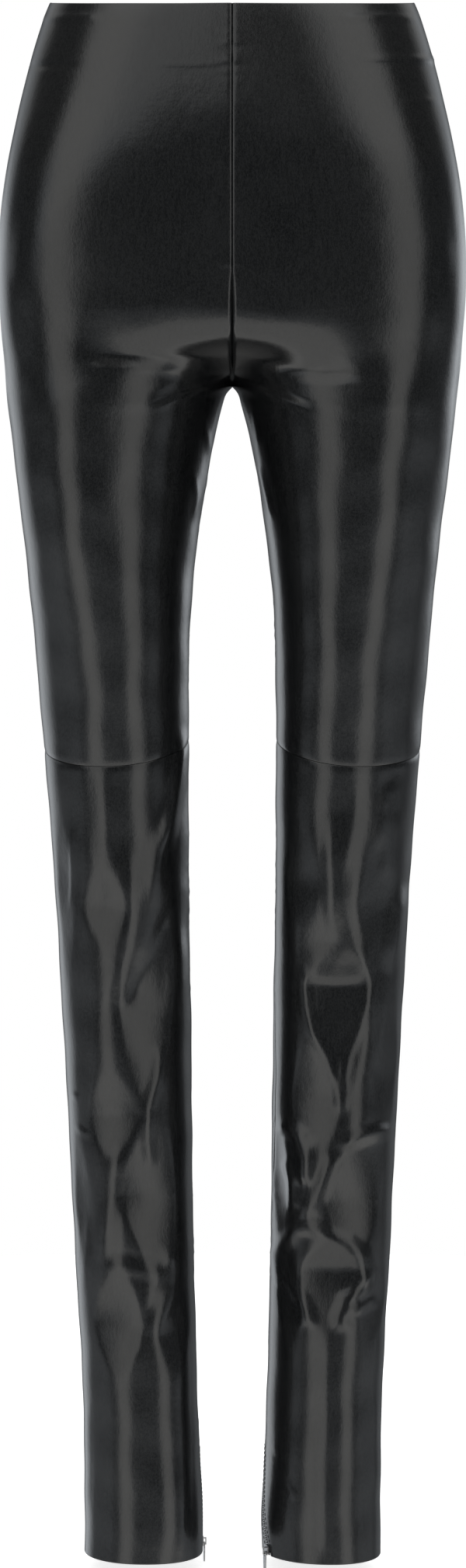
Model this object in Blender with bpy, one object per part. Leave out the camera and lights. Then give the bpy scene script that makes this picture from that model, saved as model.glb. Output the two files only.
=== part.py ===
"""High-waisted black leather leggings, filled out as worn. Metres, +Z up, the front faces -Y.

The origin is the middle of the waist. Left and right are the wearer's, so left is +X. One half is worked
out for +X and mirrored: a ring round the half starts at the front edge (the centre front seam, then the
inseam), passes the side seam and ends at the back edge. "Around" runs from 0 at the front edge over
0.5 at the side seam to 1 at the back edge, and "level" is a ring's height at the side seam.
"""

import math

import bpy
import bmesh
import numpy as np
from mathutils import Matrix, Vector

# Driving dimensions
WALL = 0.0014
SEAM_GAP = 0.0003
HALF_GAP = SEAM_GAP / 2
HEM = -1.100
CROTCH = -0.270
CROTCH_LEVEL = -0.300
SPLIT_LEVEL = -0.185
CROTCH_FADE = 0.14
CROTCH_ROUNDING = 1.5
LEG_ONSET_CENTRE = 2.6
LEG_ONSET_SIDE = 1.6
HIP_MIDDLE_SHARE = 0.1
KNEE = -0.5235
KNEE_SAG = 0.012
KNEE_TILT = 0.0035
KNEE_REACH = 0.11
KNEE_SAG_POWER = 1.5
WAIST_DIP_SLOPE = 0.125
WAIST_RISE_SLOPE = 0.067
WAIST_DIP_REACH = 0.16
LEG_SQUARE = 2.15

# Rows of the hip: height, half width, front, back, squareness in front, squareness behind
HIP_ROWS = [
    (0.000, 0.1286, -0.0930, 0.0900, 2.8, 2.3),
    (-0.026, 0.1370, -0.0985, 0.0950, 3.0, 2.3),
    (-0.070, 0.1483, -0.1045, 0.1020, 3.3, 2.3),
    (-0.114, 0.1569, -0.1075, 0.1100, 3.9, 2.3),
    (-0.168, 0.1630, -0.1070, 0.1170, 4.3, 2.3),
    (-0.223, 0.1624, -0.1030, 0.1170, 4.3, 2.3),
    (-0.267, 0.1588, -0.0990, 0.1100, 3.8, 2.3),
    (-0.320, 0.1530, -0.0950, 0.1000, 3.2, 2.3),
]
# Rows of the leg: height, outer edge, front, back, squareness in front, and how far the outer side stands
# forward of the inner side on the left leg and on the right leg
LEG_ROWS = [
    (-0.160, 0.1632, -0.1040, 0.1120, 2.30, 0.0200, 0.0200),
    (-0.223, 0.1624, -0.1000, 0.1080, 2.28, 0.0199, 0.0199),
    (-0.270, 0.1586, -0.0965, 0.1000, 2.26, 0.0192, 0.0192),
    (-0.322, 0.1528, -0.0920, 0.0880, 2.28, 0.0110, 0.0165),
    (-0.377, 0.1462, -0.0860, 0.0780, 2.30, 0.0035, 0.0108),
    (-0.432, 0.1410, -0.0790, 0.0690, 2.20, -0.0034, 0.0010),
    (-0.487, 0.1361, -0.0710, 0.0600, 2.06, -0.0046, -0.0018),
    (-0.541, 0.1317, -0.0635, 0.0540, 2.06, -0.0048, -0.0014),
    (-0.596, 0.1273, -0.0580, 0.0550, 2.10, -0.0036, -0.0008),
    (-0.651, 0.1240, -0.0530, 0.0600, 2.15, -0.0020, 0.0000),
    (-0.706, 0.1211, -0.0490, 0.0650, 2.15, 0.0000, 0.0000),
    (-0.761, 0.1182, -0.0460, 0.0670, 2.15, 0.0010, -0.0005),
    (-0.816, 0.1153, -0.0435, 0.0655, 2.15, 0.0025, -0.0010),
    (-0.871, 0.1127, -0.0411, 0.0627, 2.15, 0.0045, -0.0018),
    (-0.925, 0.1097, -0.0387, 0.0612, 2.15, 0.0062, -0.0025),
    (-0.980, 0.1068, -0.0362, 0.0608, 2.15, 0.0066, -0.0026),
    (-1.035, 0.1056, -0.0338, 0.0612, 2.15, 0.0066, -0.0026),
    (-1.100, 0.1057, -0.0310, 0.0620, 2.15, 0.0066, -0.0026),
]
# Rows of the leg's inner edge: height, distance from the middle
INSEAM_ROWS = [
    (-0.270, 0.0000),
    (-0.273, 0.0028),
    (-0.280, 0.0058),
    (-0.295, 0.0098),
    (-0.322, 0.0156),
    (-0.350, 0.0201),
    (-0.404, 0.0272),
    (-0.459, 0.0302),
    (-0.541, 0.0307),
    (-0.624, 0.0304),
    (-0.706, 0.0293),
    (-0.816, 0.0280),
    (-0.898, 0.0269),
    (-0.980, 0.0247),
    (-1.035, 0.0228),
    (-1.076, 0.0208),
    (-1.100, 0.0213),
]
# Rows of the inseam's turn towards the front: height, degrees on the left leg, degrees on the right leg
INSEAM_TURN_ROWS = [
    (-0.300, 0.0, 0.0),
    (-0.640, 0.0, 0.0),
    (-0.706, 10.0, 0.0),
    (-0.770, 24.0, 2.0),
    (-0.830, 14.0, 4.0),
    (-0.900, 5.0, 2.0),
    (-0.980, 2.0, 0.0),
    (-1.035, 6.0, -4.0),
    (-1.100, 33.0, -20.0),
]

# Flattened places of a leg, seen from in front: bearing and height of its top, its deepest point and
# its foot, then its depth. A bearing is in degrees, 0 in front, positive to the viewer's right.
FLATS = {
    "right": [
        (-14, -0.594, -14, -0.638, -12, -0.664, 0.0034),
        (41, -0.640, 25, -0.700, 17, -0.768, 0.0036),
        (-16, -0.744, -16, -0.780, -19, -0.828, 0.0036),
        (28, -0.784, 21, -0.838, 30, -0.892, 0.0040),
        (-48, -0.800, -46, -0.850, -44, -0.890, 0.0026),
        (-16, -0.890, -26, -0.928, -20, -0.962, 0.0046),
        (40, -0.912, 34, -0.938, 30, -0.966, 0.0024),
        (-52, -0.575, -50, -0.620, -48, -0.680, 0.0022),
        (170, -0.540, 176, -0.585, 182, -0.640, 0.0036),
        (-150, -0.660, -146, -0.705, -150, -0.760, 0.0032),
        (160, -0.740, 156, -0.790, 160, -0.836, 0.0040),
        (-158, -0.830, -162, -0.868, -158, -0.912, 0.0038),
        (152, -0.890, 148, -0.926, 154, -0.966, 0.0040),
        (100, -0.770, 98, -0.815, 102, -0.862, 0.0026),
        (-104, -0.700, -100, -0.742, -98, -0.790, 0.0024),
    ],
    "left": [
        (26, -0.580, 27, -0.632, 32, -0.690, 0.0040),
        (-34, -0.576, -34, -0.616, -32, -0.650, 0.0036),
        (0, -0.662, -2, -0.690, 5, -0.766, 0.0052),
        (-30, -0.640, -23, -0.664, -28, -0.690, 0.0024),
        (-25, -0.722, -21, -0.768, -21, -0.812, 0.0038),
        (34, -0.786, 21, -0.842, 24, -0.884, 0.0040),
        (48, -0.700, 44, -0.750, 46, -0.792, 0.0026),
        (-58, -0.792, -60, -0.824, -50, -0.868, 0.0034),
        (-2, -0.872, -3, -0.890, -3, -0.934, 0.0054),
        (-44, -0.880, -42, -0.912, -34, -0.944, 0.0026),
        (44, -0.888, 42, -0.914, 36, -0.944, 0.0026),
        (-174, -0.550, -178, -0.600, -184, -0.650, 0.0036),
        (150, -0.640, 146, -0.690, 152, -0.744, 0.0034),
        (-160, -0.720, -156, -0.768, -160, -0.816, 0.0040),
        (164, -0.806, 166, -0.850, 160, -0.892, 0.0038),
        (-150, -0.878, -152, -0.914, -156, -0.958, 0.0040),
        (98, -0.800, 102, -0.846, 98, -0.890, 0.0024),
    ],
}
FOLD_RADIUS = 0.050
FOLD_SOFTNESS = 0.0006

# Ankle zip
ZIP_TOP = -1.030
ZIP_FOOT = HEM + 0.0012
ZIP_HALF_WINDOW = 0.0015
CHAIN_HALF_WIDTH = 0.0011
TAPE_HALF_WIDTH = 0.0070
TAPE_THICKNESS = 0.0007
CHAIN_PROUD = 0.0002
ZIP_END = 0.001
ZIP_HEADROOM = 0.0006

# Slider and pull, measured outward from the panel and upward from the slider's foot
SLIDER_HALF_WIDTH = 0.0027
SLIDER_HEIGHT = 0.0070
SLIDER_INNER_FACE = 0.0007
SLIDER_OUTER_FACE = 0.0018
SLIDER_FOOT = HEM + 0.0006
SLIDER_CORNER = 0.0012
BRIDGE_HALF_WIDTH = 0.00045
BRIDGE_FOOT = 0.0006
BRIDGE_TOP = 0.0058
BRIDGE_POST = 0.0008
BRIDGE_INNER_FACE = 0.0034
BRIDGE_OUTER_FACE = 0.0041
BRIDGE_ROOT = 0.0002
PULL_AXIS_OUT = 0.0026
PULL_AXIS_UP = 0.0021
PULL_THICKNESS = 0.0008
PULL_HALF_WIDTH = 0.0020
PULL_HALF_EYE = 0.0010
PULL_BAR = 0.0004
PULL_EYE_DROP = 0.0029
PULL_DROP = 0.0136
PULL_TAPER = 0.0015
PULL_SLIMMING = 0.0004
PULL_FOOT_CORNER = 0.0007
EYE_CORNER = 0.0003
EYE_FOOT_CORNER = 0.0005
EYE_FOOT_HALF = 0.0002

# Grid of the panels
COLUMNS = 10
UPPER_SPACING = 0.0195
LOWER_SPACING = 0.0147
BESIDE_ZIP = 0.032
NEAR_SIDE = 1e-6
STEP = 1e-4


def read(rows, column, height):
    """One column of a table at the given heights, on a natural cubic curve through its rows."""
    ordered = sorted(rows)
    at = np.array([row[0] for row in ordered])
    value = np.array([row[column] for row in ordered])
    gap = np.diff(at)
    slope = np.diff(value) / gap
    count = len(at)
    system = np.eye(count)
    bend = np.zeros(count)
    for i in range(1, count - 1):
        system[i, i - 1 : i + 2] = gap[i - 1], 2 * (gap[i - 1] + gap[i]), gap[i]
        bend[i] = 6 * (slope[i] - slope[i - 1])
    curve = np.linalg.solve(system, bend)
    height = np.clip(height, at[0], at[-1])
    i = np.clip(np.searchsorted(at, height) - 1, 0, count - 2)
    low = (at[i + 1] - height) / gap[i]
    high = 1 - low
    lift = (low**3 - low) * curve[i] + (high**3 - high) * curve[i + 1]
    return low * value[i] + high * value[i + 1] + lift * gap[i] ** 2 / 6


def ease(share):
    """0 below 0, 1 above 1, and a smooth step between."""
    share = np.clip(share, 0, 1)
    return share * share * (3 - 2 * share)


def oval(angle, inner, outer, front, back, square):
    """Point of an oval round its own middle; the angle is 0 at the outer side and -90 degrees in front."""
    across = np.where(np.cos(angle) > 0, outer, inner)
    deep = np.where(np.sin(angle) > 0, back, front)
    shape = np.abs(np.cos(angle) / across) ** square + np.abs(np.sin(angle) / deep) ** square
    reach = shape ** (-1 / square)
    return reach * np.cos(angle), reach * np.sin(angle)


def knee_line(angle):
    """How far the knee seam lies below its mean height at an angle round the leg."""
    sag = np.clip(-np.sin(angle), 0, 1) ** KNEE_SAG_POWER
    return -KNEE_TILT * np.cos(angle) - KNEE_SAG * sag


def inseam_turn(leg, level):
    """How far the inseam is turned towards the front, as an angle round the leg."""
    column = 1 if leg == "left" else 2
    return np.radians(read(INSEAM_TURN_ROWS, column, np.minimum(level, CROTCH_LEVEL)))


def inside_seams(leg, around, level):
    """Keeps a place half a gap away from its seams, and clear of the zip's chain over the zip."""
    open_share = ease((ZIP_TOP - level) / ZIP_END)
    width = read(LEG_ROWS, 1, level) - read(INSEAM_ROWS, 1, np.minimum(level, CROTCH))
    seam = (HALF_GAP + open_share * ZIP_HALF_WINDOW) / (math.pi * width)
    side = HALF_GAP / (math.pi * width)
    front = np.clip(around, seam, 0.5 - side)
    back = np.clip(around, 0.5 + side, 1 - seam)
    return np.where(around < 0.5, front, back)


def form(leg, around, level):
    """Smooth form of one half, at +X: arrays x, y, z."""
    turn = inseam_turn(leg, level)
    in_front = around < 0.5
    to_front = (turn - math.pi) * (1 - 2 * around)
    to_back = (turn + math.pi) * (2 * around - 1)
    round_leg = np.where(in_front, to_front, to_back)
    round_hip = math.pi * (around - 0.5)
    nearness = 1 - ease(np.abs(level - KNEE) / KNEE_REACH)
    level = level + knee_line(round_leg) * nearness
    split = np.clip((SPLIT_LEVEL - level) / (SPLIT_LEVEL - CROTCH_LEVEL), 0, 1)
    above = SPLIT_LEVEL + (CROTCH - SPLIT_LEVEL) * (1 - (1 - split) ** CROTCH_ROUNDING)
    past = np.clip((CROTCH_LEVEL - level) / CROTCH_FADE, 0, 1)
    start = CROTCH_FADE / (CROTCH - CROTCH_LEVEL)
    below = level + (CROTCH - CROTCH_LEVEL) * (1 - past) ** 2 * (1 + (2 + start) * past)
    edge = np.where(level > SPLIT_LEVEL, level, np.where(level > CROTCH_LEVEL, above, below))
    near_centre = np.cos(math.pi * around) ** 2
    height = level + (edge - level) * near_centre

    width = read(HIP_ROWS, 1, height)
    front = read(HIP_ROWS, 2, height)
    back = read(HIP_ROWS, 3, height)
    square = np.where(in_front, read(HIP_ROWS, 4, height), read(HIP_ROWS, 5, height))
    middle = HIP_MIDDLE_SHARE * (front + back)
    hip_x, hip_y = oval(round_hip, width, width, middle - front, back - middle, square)
    hip_y = hip_y + middle

    inner = np.where(edge >= CROTCH, 0, read(INSEAM_ROWS, 1, edge))
    outer = read(LEG_ROWS, 1, height)
    front = read(LEG_ROWS, 2, height)
    back = read(LEG_ROWS, 3, height)
    centre = 0.5 * (inner + outer)
    half = 0.5 * (outer - inner)
    middle = 0.5 * (front + back)
    square = np.where(np.sin(round_leg) < 0, read(LEG_ROWS, 4, height), LEG_SQUARE)
    leg_x, leg_y = oval(round_leg, half, half, middle - front, back - middle, square)
    skew = read(LEG_ROWS, 5 if leg == "left" else 6, height)
    leg_x = leg_x + centre
    leg_y = leg_y + middle - skew * np.cos(round_leg)

    gone = split ** (LEG_ONSET_SIDE + (LEG_ONSET_CENTRE - LEG_ONSET_SIDE) * near_centre)
    share = gone**3 * (10 - 15 * gone + 6 * gone**2)
    x = hip_x + (leg_x - hip_x) * share
    y = hip_y + (leg_y - hip_y) * share
    dip = 1 - ease(-level / WAIST_DIP_REACH)
    slope = np.where(y < 0, WAIST_DIP_SLOPE, WAIST_RISE_SLOPE)
    return x, y, height + slope * y * dip


def bearing(leg, x, y, z):
    """Bearing of a point round its leg in degrees: 0 in front, positive to the viewer's right."""
    level = np.minimum(z, CROTCH_LEVEL)
    middle_x = 0.5 * (read(LEG_ROWS, 1, level) + read(INSEAM_ROWS, 1, level))
    middle_y = 0.5 * (read(LEG_ROWS, 2, level) + read(LEG_ROWS, 3, level))
    side = 1 if leg == "left" else -1
    return side * np.degrees(np.arctan2(x - middle_x, middle_y - y))


def relief(leg, x, y, z):
    """How far the folds move the leather outward."""
    around = bearing(leg, x, y, z)
    moved = np.zeros_like(z)
    for top_turn, top, deep_turn, deep, foot_turn, foot, depth in FLATS[leg]:
        upper = (top - z) / (top - deep)
        lower = (z - foot) / (deep - foot)
        turn = np.where(z > deep, top_turn + (deep_turn - top_turn) * upper,
                        foot_turn + (deep_turn - foot_turn) * lower)
        turn = np.clip(turn, min(top_turn, deep_turn, foot_turn), max(top_turn, deep_turn, foot_turn))
        off = FOLD_RADIUS * np.radians((around - turn + 180) % 360 - 180)
        sunk = depth * np.minimum(upper, lower) - off**2 / (2 * FOLD_RADIUS)
        moved -= 0.5 * (sunk + np.sqrt(sunk**2 + FOLD_SOFTNESS**2))
    return moved


def cross(a, b):
    return (a[1] * b[2] - a[2] * b[1], a[2] * b[0] - a[0] * b[2], a[0] * b[1] - a[1] * b[0])


def outward(surface, around, level):
    """Unit normals of a surface, pointing out of the garment."""
    side = np.where(around < 0.5, 1, -1)
    here = surface(around, level)
    beside = surface(around + side * STEP, level)
    below = surface(around, level - STEP)
    along = [side * (b - h) for b, h in zip(beside, here)]
    down = [b - h for b, h in zip(below, here)]
    normal = cross(down, along)
    length = np.sqrt(sum(n**2 for n in normal))
    return [n / length for n in normal]


def leather(leg):
    """The folded surface of one half, as a function of around and level."""
    def smooth(around, level):
        return form(leg, around, level)

    def folded(around, level):
        point = smooth(around, level)
        push = relief(leg, *point)
        return [p + push * n for p, n in zip(point, outward(smooth, around, level))]

    return folded


def mirrored(leg, points):
    x, y, z = points
    return np.stack([x if leg == "left" else -x, y, z], axis=-1)


def on_panel(leg, around, level, out):
    """World points a given distance outside the leather; a negative distance is inside."""
    surface = leather(leg)
    around = inside_seams(leg, around, level)
    point = surface(around, level)
    normal = outward(surface, around, level)
    moved = [p + out * n for p, n in zip(point, normal)]
    moved[0] = np.maximum(moved[0], HALF_GAP)
    return mirrored(leg, moved)


def material(name, colour, roughness, metallic):
    made = bpy.data.materials.new(name)
    made.use_nodes = True
    shader = made.node_tree.nodes["Principled BSDF"]
    shader.inputs["Base Color"].default_value = (*colour, 1)
    shader.inputs["Roughness"].default_value = roughness
    shader.inputs["Metallic"].default_value = metallic
    return made


def add_object(name, mesh_maker, surface):
    """Links a new object whose bmesh the maker fills, with its faces turned outward."""
    mesh = bpy.data.meshes.new(name)
    work = bmesh.new()
    mesh_maker(work)
    bmesh.ops.recalc_face_normals(work, faces=work.faces)
    work.to_mesh(mesh)
    work.free()
    mesh.materials.append(surface)
    mesh.shade_smooth()
    mesh.set_sharp_from_angle(angle=math.radians(40))
    made = bpy.data.objects.new(name, mesh)
    bpy.context.scene.collection.objects.link(made)
    return made


def wall(work, outer, inner):
    """Closes two grids of points, rows by columns, into one wall."""
    sheets = [[[work.verts.new(p) for p in row] for row in grid] for grid in (outer, inner)]
    rows, columns = outer.shape[:2]
    for sheet in sheets:
        for r in range(rows - 1):
            for c in range(columns - 1):
                work.faces.new((sheet[r][c], sheet[r][c + 1], sheet[r + 1][c + 1], sheet[r + 1][c]))
    border = [(0, c) for c in range(columns)]
    border += [(r, columns - 1) for r in range(1, rows)]
    border += [(rows - 1, c) for c in range(columns - 2, -1, -1)]
    border += [(r, 0) for r in range(rows - 2, 0, -1)]
    for (r0, c0), (r1, c1) in zip(border, border[1:] + border[:1]):
        work.faces.new((sheets[0][r0][c0], sheets[0][r1][c1], sheets[1][r1][c1], sheets[1][r0][c0]))


def panel_levels(stops, spacing):
    """Levels from stop to stop, evenly spread in between."""
    levels = [stops[0]]
    for top, foot in zip(stops, stops[1:]):
        count = max(1, round((top - foot) / spacing))
        levels += list(np.linspace(top, foot, count + 1)[1:])
    return np.array(levels)


def lower_levels():
    return panel_levels([KNEE - HALF_GAP, ZIP_TOP, ZIP_TOP - ZIP_END, HEM], LOWER_SPACING)


def add_panel(name, leg, columns, levels, surface):
    around, level = np.meshgrid(columns, levels)
    outer = on_panel(leg, around, level, 0.0)
    inner = on_panel(leg, around, level, -WALL)
    return add_object(name, lambda work: wall(work, outer, inner), surface)


def add_panels(leg, surface):
    upper = panel_levels([0.0, CROTCH_LEVEL, KNEE + HALF_GAP], UPPER_SPACING)
    columns = np.concatenate([[0.0], np.linspace(BESIDE_ZIP, 0.5 - NEAR_SIDE, COLUMNS)])
    for height, levels in (("upper", upper), ("lower", lower_levels())):
        add_panel(f"front_{height}_{leg}", leg, columns, levels, surface)
        add_panel(f"back_{height}_{leg}", leg, 1 - columns, levels, surface)


def inseam_point(leg, level, turn, out):
    """World point beside the inseam: turn is the distance towards the front along the panel."""
    window = HALF_GAP + ZIP_HALF_WINDOW
    front = turn >= 0
    past = max(abs(turn) - window, 0.0)
    ring = math.pi * (read(LEG_ROWS, 1, level) - read(INSEAM_ROWS, 1, level))
    share = (past + window) / ring
    around = np.array([share if front else 1 - share])
    edge = on_panel(leg, around, np.array([level]), out)[0]
    if abs(turn) >= window:
        return edge
    other = on_panel(leg, np.array([1 - around[0]]), np.array([level]), out)[0]
    mix = 0.5 + 0.5 * abs(turn) / window
    return edge * mix + other * (1 - mix)


def add_zip(leg, surface):
    """Tape behind the panels' edges with the closed chain standing up between them."""
    back = -(WALL + SEAM_GAP + TAPE_THICKNESS)
    face = -(WALL + SEAM_GAP)
    outline = [
        (-TAPE_HALF_WIDTH, back), (0.0, back), (TAPE_HALF_WIDTH, back), (TAPE_HALF_WIDTH, face),
        (CHAIN_HALF_WIDTH, face), (CHAIN_HALF_WIDTH, CHAIN_PROUD),
        (-CHAIN_HALF_WIDTH, CHAIN_PROUD), (-CHAIN_HALF_WIDTH, face), (-TAPE_HALF_WIDTH, face),
    ]
    start = ZIP_TOP - ZIP_END - ZIP_HEADROOM
    levels = [start] + [z for z in lower_levels() if z < start]
    levels[-1] = ZIP_FOOT

    def fill(work):
        rings = [[work.verts.new(inseam_point(leg, level, *spot)) for spot in outline] for level in levels]
        for one, two in zip(rings, rings[1:]):
            for i in range(len(outline)):
                j = (i + 1) % len(outline)
                work.faces.new((one[i], one[j], two[j], two[i]))
        work.faces.new(rings[0])
        work.faces.new(rings[-1])

    return add_object(f"zip_{leg}", fill, surface)


def slider_frame(leg):
    """Matrix of the slider: X along the hem towards the front, Y out of the leather, Z up."""
    middle = Vector(inseam_point(leg, SLIDER_FOOT + 0.5 * SLIDER_HEIGHT, 0.0, 0.0))
    ahead = Vector(inseam_point(leg, SLIDER_FOOT + 0.5 * SLIDER_HEIGHT, 0.004, 0.0))
    up = Vector((0, 0, 1))
    tangent = (ahead - middle).normalized()
    tangent = (tangent - up * tangent.dot(up)).normalized()
    out = up.cross(tangent) if leg == "right" else tangent.cross(up)
    frame = Matrix((tangent, out, up)).transposed().to_4x4()
    frame.translation = (middle.x, middle.y, SLIDER_FOOT)
    return frame


def add_box(work, low, high):
    corners = bmesh.ops.create_cube(work, size=1)["verts"]
    for corner in corners:
        corner.co = Vector([l if c < 0 else h for c, l, h in zip(corner.co, low, high)])


def add_slider(leg, frame, surface):
    """Plate over the chain, with the bridge that carries the pull."""
    def plate(work):
        low = (-SLIDER_HALF_WIDTH, SLIDER_INNER_FACE, 0)
        add_box(work, low, (SLIDER_HALF_WIDTH, SLIDER_OUTER_FACE, SLIDER_HEIGHT))
        upright = [e for e in work.edges if abs(e.verts[0].co.y - e.verts[1].co.y) > 1e-5]
        bmesh.ops.bevel(work, geom=upright, offset=SLIDER_CORNER, segments=2, profile=0.5, affect="EDGES")

    def bridge(work):
        root = SLIDER_OUTER_FACE - BRIDGE_ROOT
        side_view = [
            (root, BRIDGE_FOOT), (BRIDGE_OUTER_FACE, BRIDGE_FOOT), (BRIDGE_OUTER_FACE, BRIDGE_TOP),
            (root, BRIDGE_TOP), (root, BRIDGE_TOP - BRIDGE_POST),
            (BRIDGE_INNER_FACE, BRIDGE_TOP - BRIDGE_POST), (BRIDGE_INNER_FACE, BRIDGE_FOOT + BRIDGE_POST),
            (root, BRIDGE_FOOT + BRIDGE_POST),
        ]
        face = work.faces.new([work.verts.new((-BRIDGE_HALF_WIDTH, y, z)) for y, z in side_view])
        grown = bmesh.ops.extrude_face_region(work, geom=[face])["geom"]
        moved = [g for g in grown if isinstance(g, bmesh.types.BMVert)]
        bmesh.ops.translate(work, verts=moved, vec=(2 * BRIDGE_HALF_WIDTH, 0, 0))

    slider = add_object(f"slider_{leg}", plate, surface)
    arch = add_object(f"slider_bridge_{leg}", bridge, surface)
    arch.hide_render = True
    arch.display_type = "WIRE"
    slider.matrix_world = frame
    arch.matrix_world = frame
    join = slider.modifiers.new("bridge", "BOOLEAN")
    join.operation = "UNION"
    join.object = arch
    return slider


def add_pull(leg, frame, surface):
    """Tab whose upper bar lies under the bridge; its origin is on the axis it swings about."""
    half = PULL_THICKNESS / 2
    wide = PULL_HALF_WIDTH
    slim = wide - PULL_SLIMMING
    foot = slim - PULL_FOOT_CORNER
    narrow = PULL_DROP - PULL_TAPER
    eye = PULL_HALF_EYE
    inner = eye - EYE_CORNER
    low = PULL_EYE_DROP - EYE_FOOT_CORNER
    shoulder = PULL_EYE_DROP - EYE_CORNER / 3
    outline = [
        (-wide + PULL_BAR, PULL_BAR), (wide - PULL_BAR, PULL_BAR), (wide, 0), (wide, -PULL_EYE_DROP),
        (slim, -narrow), (foot, -PULL_DROP), (-foot, -PULL_DROP), (-slim, -narrow),
        (-wide, -PULL_EYE_DROP), (-wide, 0),
    ]
    hole = [
        (-inner, -PULL_BAR), (inner, -PULL_BAR), (eye, -PULL_BAR - EYE_CORNER), (eye, -low),
        (inner, -shoulder), (EYE_FOOT_HALF, -PULL_EYE_DROP), (-EYE_FOOT_HALF, -PULL_EYE_DROP),
        (-inner, -shoulder), (-eye, -low), (-eye, -PULL_BAR - EYE_CORNER),
    ]

    def fill(work):
        lines = (outline, hole)
        loops = [[work.verts.new((x, y, z)) for x, z in line] for y in (-half, half) for line in lines]
        near, near_hole, far, far_hole = loops
        count = len(outline)
        for one, two in ((near, near_hole), (far, far_hole), (near, far), (near_hole, far_hole)):
            for i in range(count):
                j = (i + 1) % count
                work.faces.new((one[i], one[j], two[j], two[i]))

    pull = add_object(f"pull_{leg}", fill, surface)
    pull.matrix_world = frame @ Matrix.Translation((0, PULL_AXIS_OUT, PULL_AXIS_UP))
    return pull


def main():
    for old in list(bpy.data.objects):
        bpy.data.objects.remove(old)
    leather_black = material("black leather", (0.012, 0.012, 0.013), 0.30, 0.0)
    tape_black = material("black zip tape", (0.010, 0.010, 0.010), 0.80, 0.0)
    dark_nickel = material("dark nickel", (0.22, 0.22, 0.23), 0.28, 1.0)
    for leg in ("left", "right"):
        add_panels(leg, leather_black)
        add_zip(leg, tape_black)
        frame = slider_frame(leg)
        add_slider(leg, frame, dark_nickel)
        add_pull(leg, frame, dark_nickel)


main()
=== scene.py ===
"""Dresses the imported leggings: leather panels with folds, seams and grain, and the zips at the ankles.

Metres, +Z up, the front faces -Y. Left and right are the wearer's, so left is +X. One half is worked out
for +X and mirrored. "Around" runs round the half from 0 at the front edge over 0.5 at the side seam to 1
at the back edge, and "level" is a ring's height at the side seam.
"""

import math

import bpy
import bmesh
import numpy as np
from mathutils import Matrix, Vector


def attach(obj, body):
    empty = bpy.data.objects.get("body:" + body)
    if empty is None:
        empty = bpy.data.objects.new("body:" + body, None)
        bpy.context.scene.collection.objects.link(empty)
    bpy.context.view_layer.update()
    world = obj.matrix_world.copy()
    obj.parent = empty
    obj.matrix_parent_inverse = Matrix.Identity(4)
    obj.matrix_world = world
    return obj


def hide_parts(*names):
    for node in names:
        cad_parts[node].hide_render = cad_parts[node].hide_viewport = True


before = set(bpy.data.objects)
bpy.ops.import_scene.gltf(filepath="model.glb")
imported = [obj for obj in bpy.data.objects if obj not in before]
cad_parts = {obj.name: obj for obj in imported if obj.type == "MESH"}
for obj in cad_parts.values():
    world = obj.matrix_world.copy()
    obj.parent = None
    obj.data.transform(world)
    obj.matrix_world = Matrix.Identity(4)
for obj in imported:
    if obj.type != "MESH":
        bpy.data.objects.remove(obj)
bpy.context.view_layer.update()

# Driving dimensions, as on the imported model
WALL = 0.0014
SEAM_GAP = 0.0003
HALF_GAP = SEAM_GAP / 2
HEM = -1.100
CROTCH = -0.270
CROTCH_LEVEL = -0.300
SPLIT_LEVEL = -0.185
CROTCH_FADE = 0.14
CROTCH_ROUNDING = 1.5
LEG_ONSET_CENTRE = 2.6
LEG_ONSET_SIDE = 1.6
HIP_MIDDLE_SHARE = 0.1
KNEE = -0.5235
KNEE_SAG = 0.012
KNEE_TILT = 0.0035
KNEE_REACH = 0.11
KNEE_SAG_POWER = 1.5
WAIST_DIP_SLOPE = 0.125
WAIST_RISE_SLOPE = 0.067
WAIST_DIP_REACH = 0.16
LEG_SQUARE = 2.15
SIDE = {"left": 1, "right": -1}

# Rows of the hip: height, half width, front, back, squareness in front, squareness behind
HIP_ROWS = [
    (0.000, 0.1286, -0.0930, 0.0900, 2.8, 2.3),
    (-0.026, 0.1370, -0.0985, 0.0950, 3.0, 2.3),
    (-0.070, 0.1483, -0.1045, 0.1020, 3.3, 2.3),
    (-0.114, 0.1569, -0.1075, 0.1100, 3.9, 2.3),
    (-0.168, 0.1630, -0.1070, 0.1170, 4.3, 2.3),
    (-0.223, 0.1624, -0.1030, 0.1170, 4.3, 2.3),
    (-0.267, 0.1588, -0.0990, 0.1100, 3.8, 2.3),
    (-0.320, 0.1530, -0.0950, 0.1000, 3.2, 2.3),
]
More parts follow.
